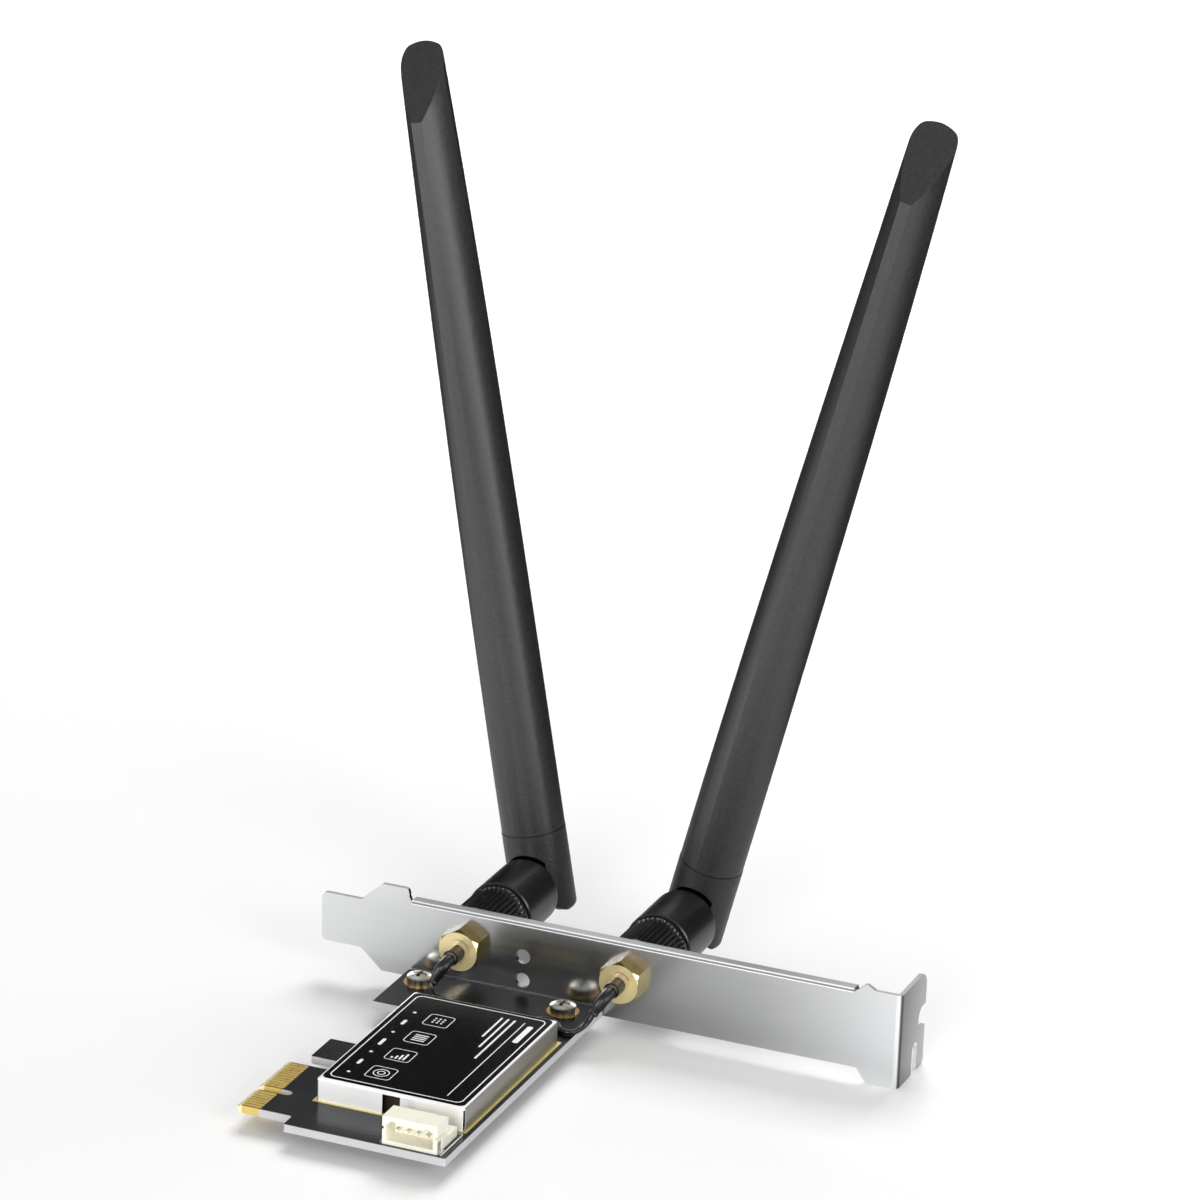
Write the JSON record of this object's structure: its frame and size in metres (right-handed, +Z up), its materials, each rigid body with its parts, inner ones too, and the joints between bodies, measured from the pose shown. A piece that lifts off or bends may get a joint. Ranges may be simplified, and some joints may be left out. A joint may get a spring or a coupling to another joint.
{
  "type": "PCIe Wi-Fi card",
  "caption": "Expansion card with a radio module in a metal can, a low mounting bracket with a screw tab, and swivelling, folding rod antennas.",
  "frame": {"origin": "centreline of the key notch in the edge connector, at the tips of the contacts and the middle of the board's thickness", "axes": "+X along the bracket from its tongue to its screw tab, +Y from the board out through the bracket, +Z up from the component side, the way the antennas stand"},
  "size_m": [0.1257, 0.1181, 0.1793],
  "materials": {
    "board_black": "glossy black solder mask over glass laminate",
    "gold_contacts": "gold plate",
    "bracket_nickel": "satin nickel plate",
    "screw_steel": "bright zinc plate",
    "can_steel": "bright tinned steel",
    "label_black": "matte film",
    "socket_plastic": "moulded",
    "capacitor_ceramic": "fired",
    "header_ivory": "moulded ivory",
    "tinned_metal": "tin plate",
    "brass_fixings": "pale bright plate",
    "white_insulator": "turned",
    "sleeve_black": "shrunk sleeve",
    "cable_black": "smooth jacket",
    "nut_black": "glossy moulded",
    "swivel_black": "semi-gloss moulded",
    "base_charcoal": "grained",
    "sheath_charcoal": "finely grained",
    "element_copper": "bare"
  },
  "bodies": {
    "card": {"circuit_board": "board_black", "edge_contacts_top": "gold_contacts", "edge_contacts_bottom": "gold_contacts", "bracket": "bracket_nickel", "bracket_screws": "screw_steel", "screw_pads": "gold_contacts", "shield_can": "can_steel", "can_label": "label_black", "ground_strip": "gold_contacts", "module_socket": "socket_plastic", "socket_contacts": "gold_contacts", "radio_module_board": "board_black", "radio_module_shield": "can_steel", "module_standoff": "brass_fixings", "module_screw": "screw_steel", "antenna_receptacles": "gold_contacts", "board_capacitors": "capacitor_ceramic", "usb_header_housing": "header_ivory", "usb_header_pins": "tinned_metal", "usb_header_lugs": "tinned_metal", "left_jack_body": "brass_fixings", "left_jack_insulator": "white_insulator", "left_jack_pin": "gold_contacts", "left_lock_washer": "screw_steel", "left_jack_nut": "brass_fixings", "left_crimp_ferrule": "sleeve_black", "left_cable_sleeve": "sleeve_black", "left_coax_lead": "cable_black", "left_coax_plug": "gold_contacts", "right_jack_body": "brass_fixings", "right_jack_insulator": "white_insulator", "right_jack_pin": "gold_contacts", "right_lock_washer": "screw_steel", "right_jack_nut": "brass_fixings", "right_crimp_ferrule": "sleeve_black", "right_cable_sleeve": "sleeve_black", "right_coax_lead": "cable_black", "right_coax_plug": "gold_contacts"},
    "left_coupling_nut": {"left_coupling_shell": "nut_black", "left_coupling_insert": "brass_fixings"},
    "left_swivel_plug": {"left_plug_body": "brass_fixings", "left_plug_insulator": "white_insulator", "left_plug_contact": "gold_contacts", "left_swivel": "swivel_black"},
    "left_antenna": {"left_hinge_pin": "swivel_black", "left_antenna_base": "base_charcoal", "left_antenna_sheath": "sheath_charcoal", "left_antenna_lead": "cable_black", "left_antenna_element": "element_copper"},
    "right_coupling_nut": {"right_coupling_shell": "nut_black", "right_coupling_insert": "brass_fixings"},
    "right_swivel_plug": {"right_plug_body": "brass_fixings", "right_plug_insulator": "white_insulator", "right_plug_contact": "gold_contacts", "right_swivel": "swivel_black"},
    "right_antenna": {"right_hinge_pin": "swivel_black", "right_antenna_base": "base_charcoal", "right_antenna_sheath": "sheath_charcoal", "right_antenna_lead": "cable_black", "right_antenna_element": "element_copper"}
  },
  "joints": [
    {"name": "left_nut_spin", "type": "hinge", "parent": "card", "child": "left_coupling_nut", "pos_m": [0.01445, 0.0729, 0.00792], "axis": [0, 1, 0], "continuous": true},
    {"name": "left_swivel_turn", "type": "hinge", "parent": "card", "child": "left_swivel_plug", "pos_m": [0.01445, 0.0729, 0.00792], "axis": [0, 1, 0], "range_deg": [-169.4, 12.6]},
    {"name": "left_antenna_fold", "type": "hinge", "parent": "left_swivel_plug", "child": "left_antenna", "pos_m": [0.01445, 0.0993, 0.00792], "axis": [-0.9826, 0, -0.1857], "range_deg": [0, 90]},
    {"name": "right_nut_spin", "type": "hinge", "parent": "card", "child": "right_coupling_nut", "pos_m": [0.0482, 0.0729, 0.00792], "axis": [0, 1, 0], "continuous": true},
    {"name": "right_swivel_turn", "type": "hinge", "parent": "card", "child": "right_swivel_plug", "pos_m": [0.0482, 0.0729, 0.00792], "axis": [0, 1, 0], "range_deg": [-15.8, 166]},
    {"name": "right_antenna_fold", "type": "hinge", "parent": "right_swivel_plug", "child": "right_antenna", "pos_m": [0.0482, 0.0993, 0.00792], "axis": [-0.9711, 0, 0.2385], "range_deg": [0, 90]}
  ]
}
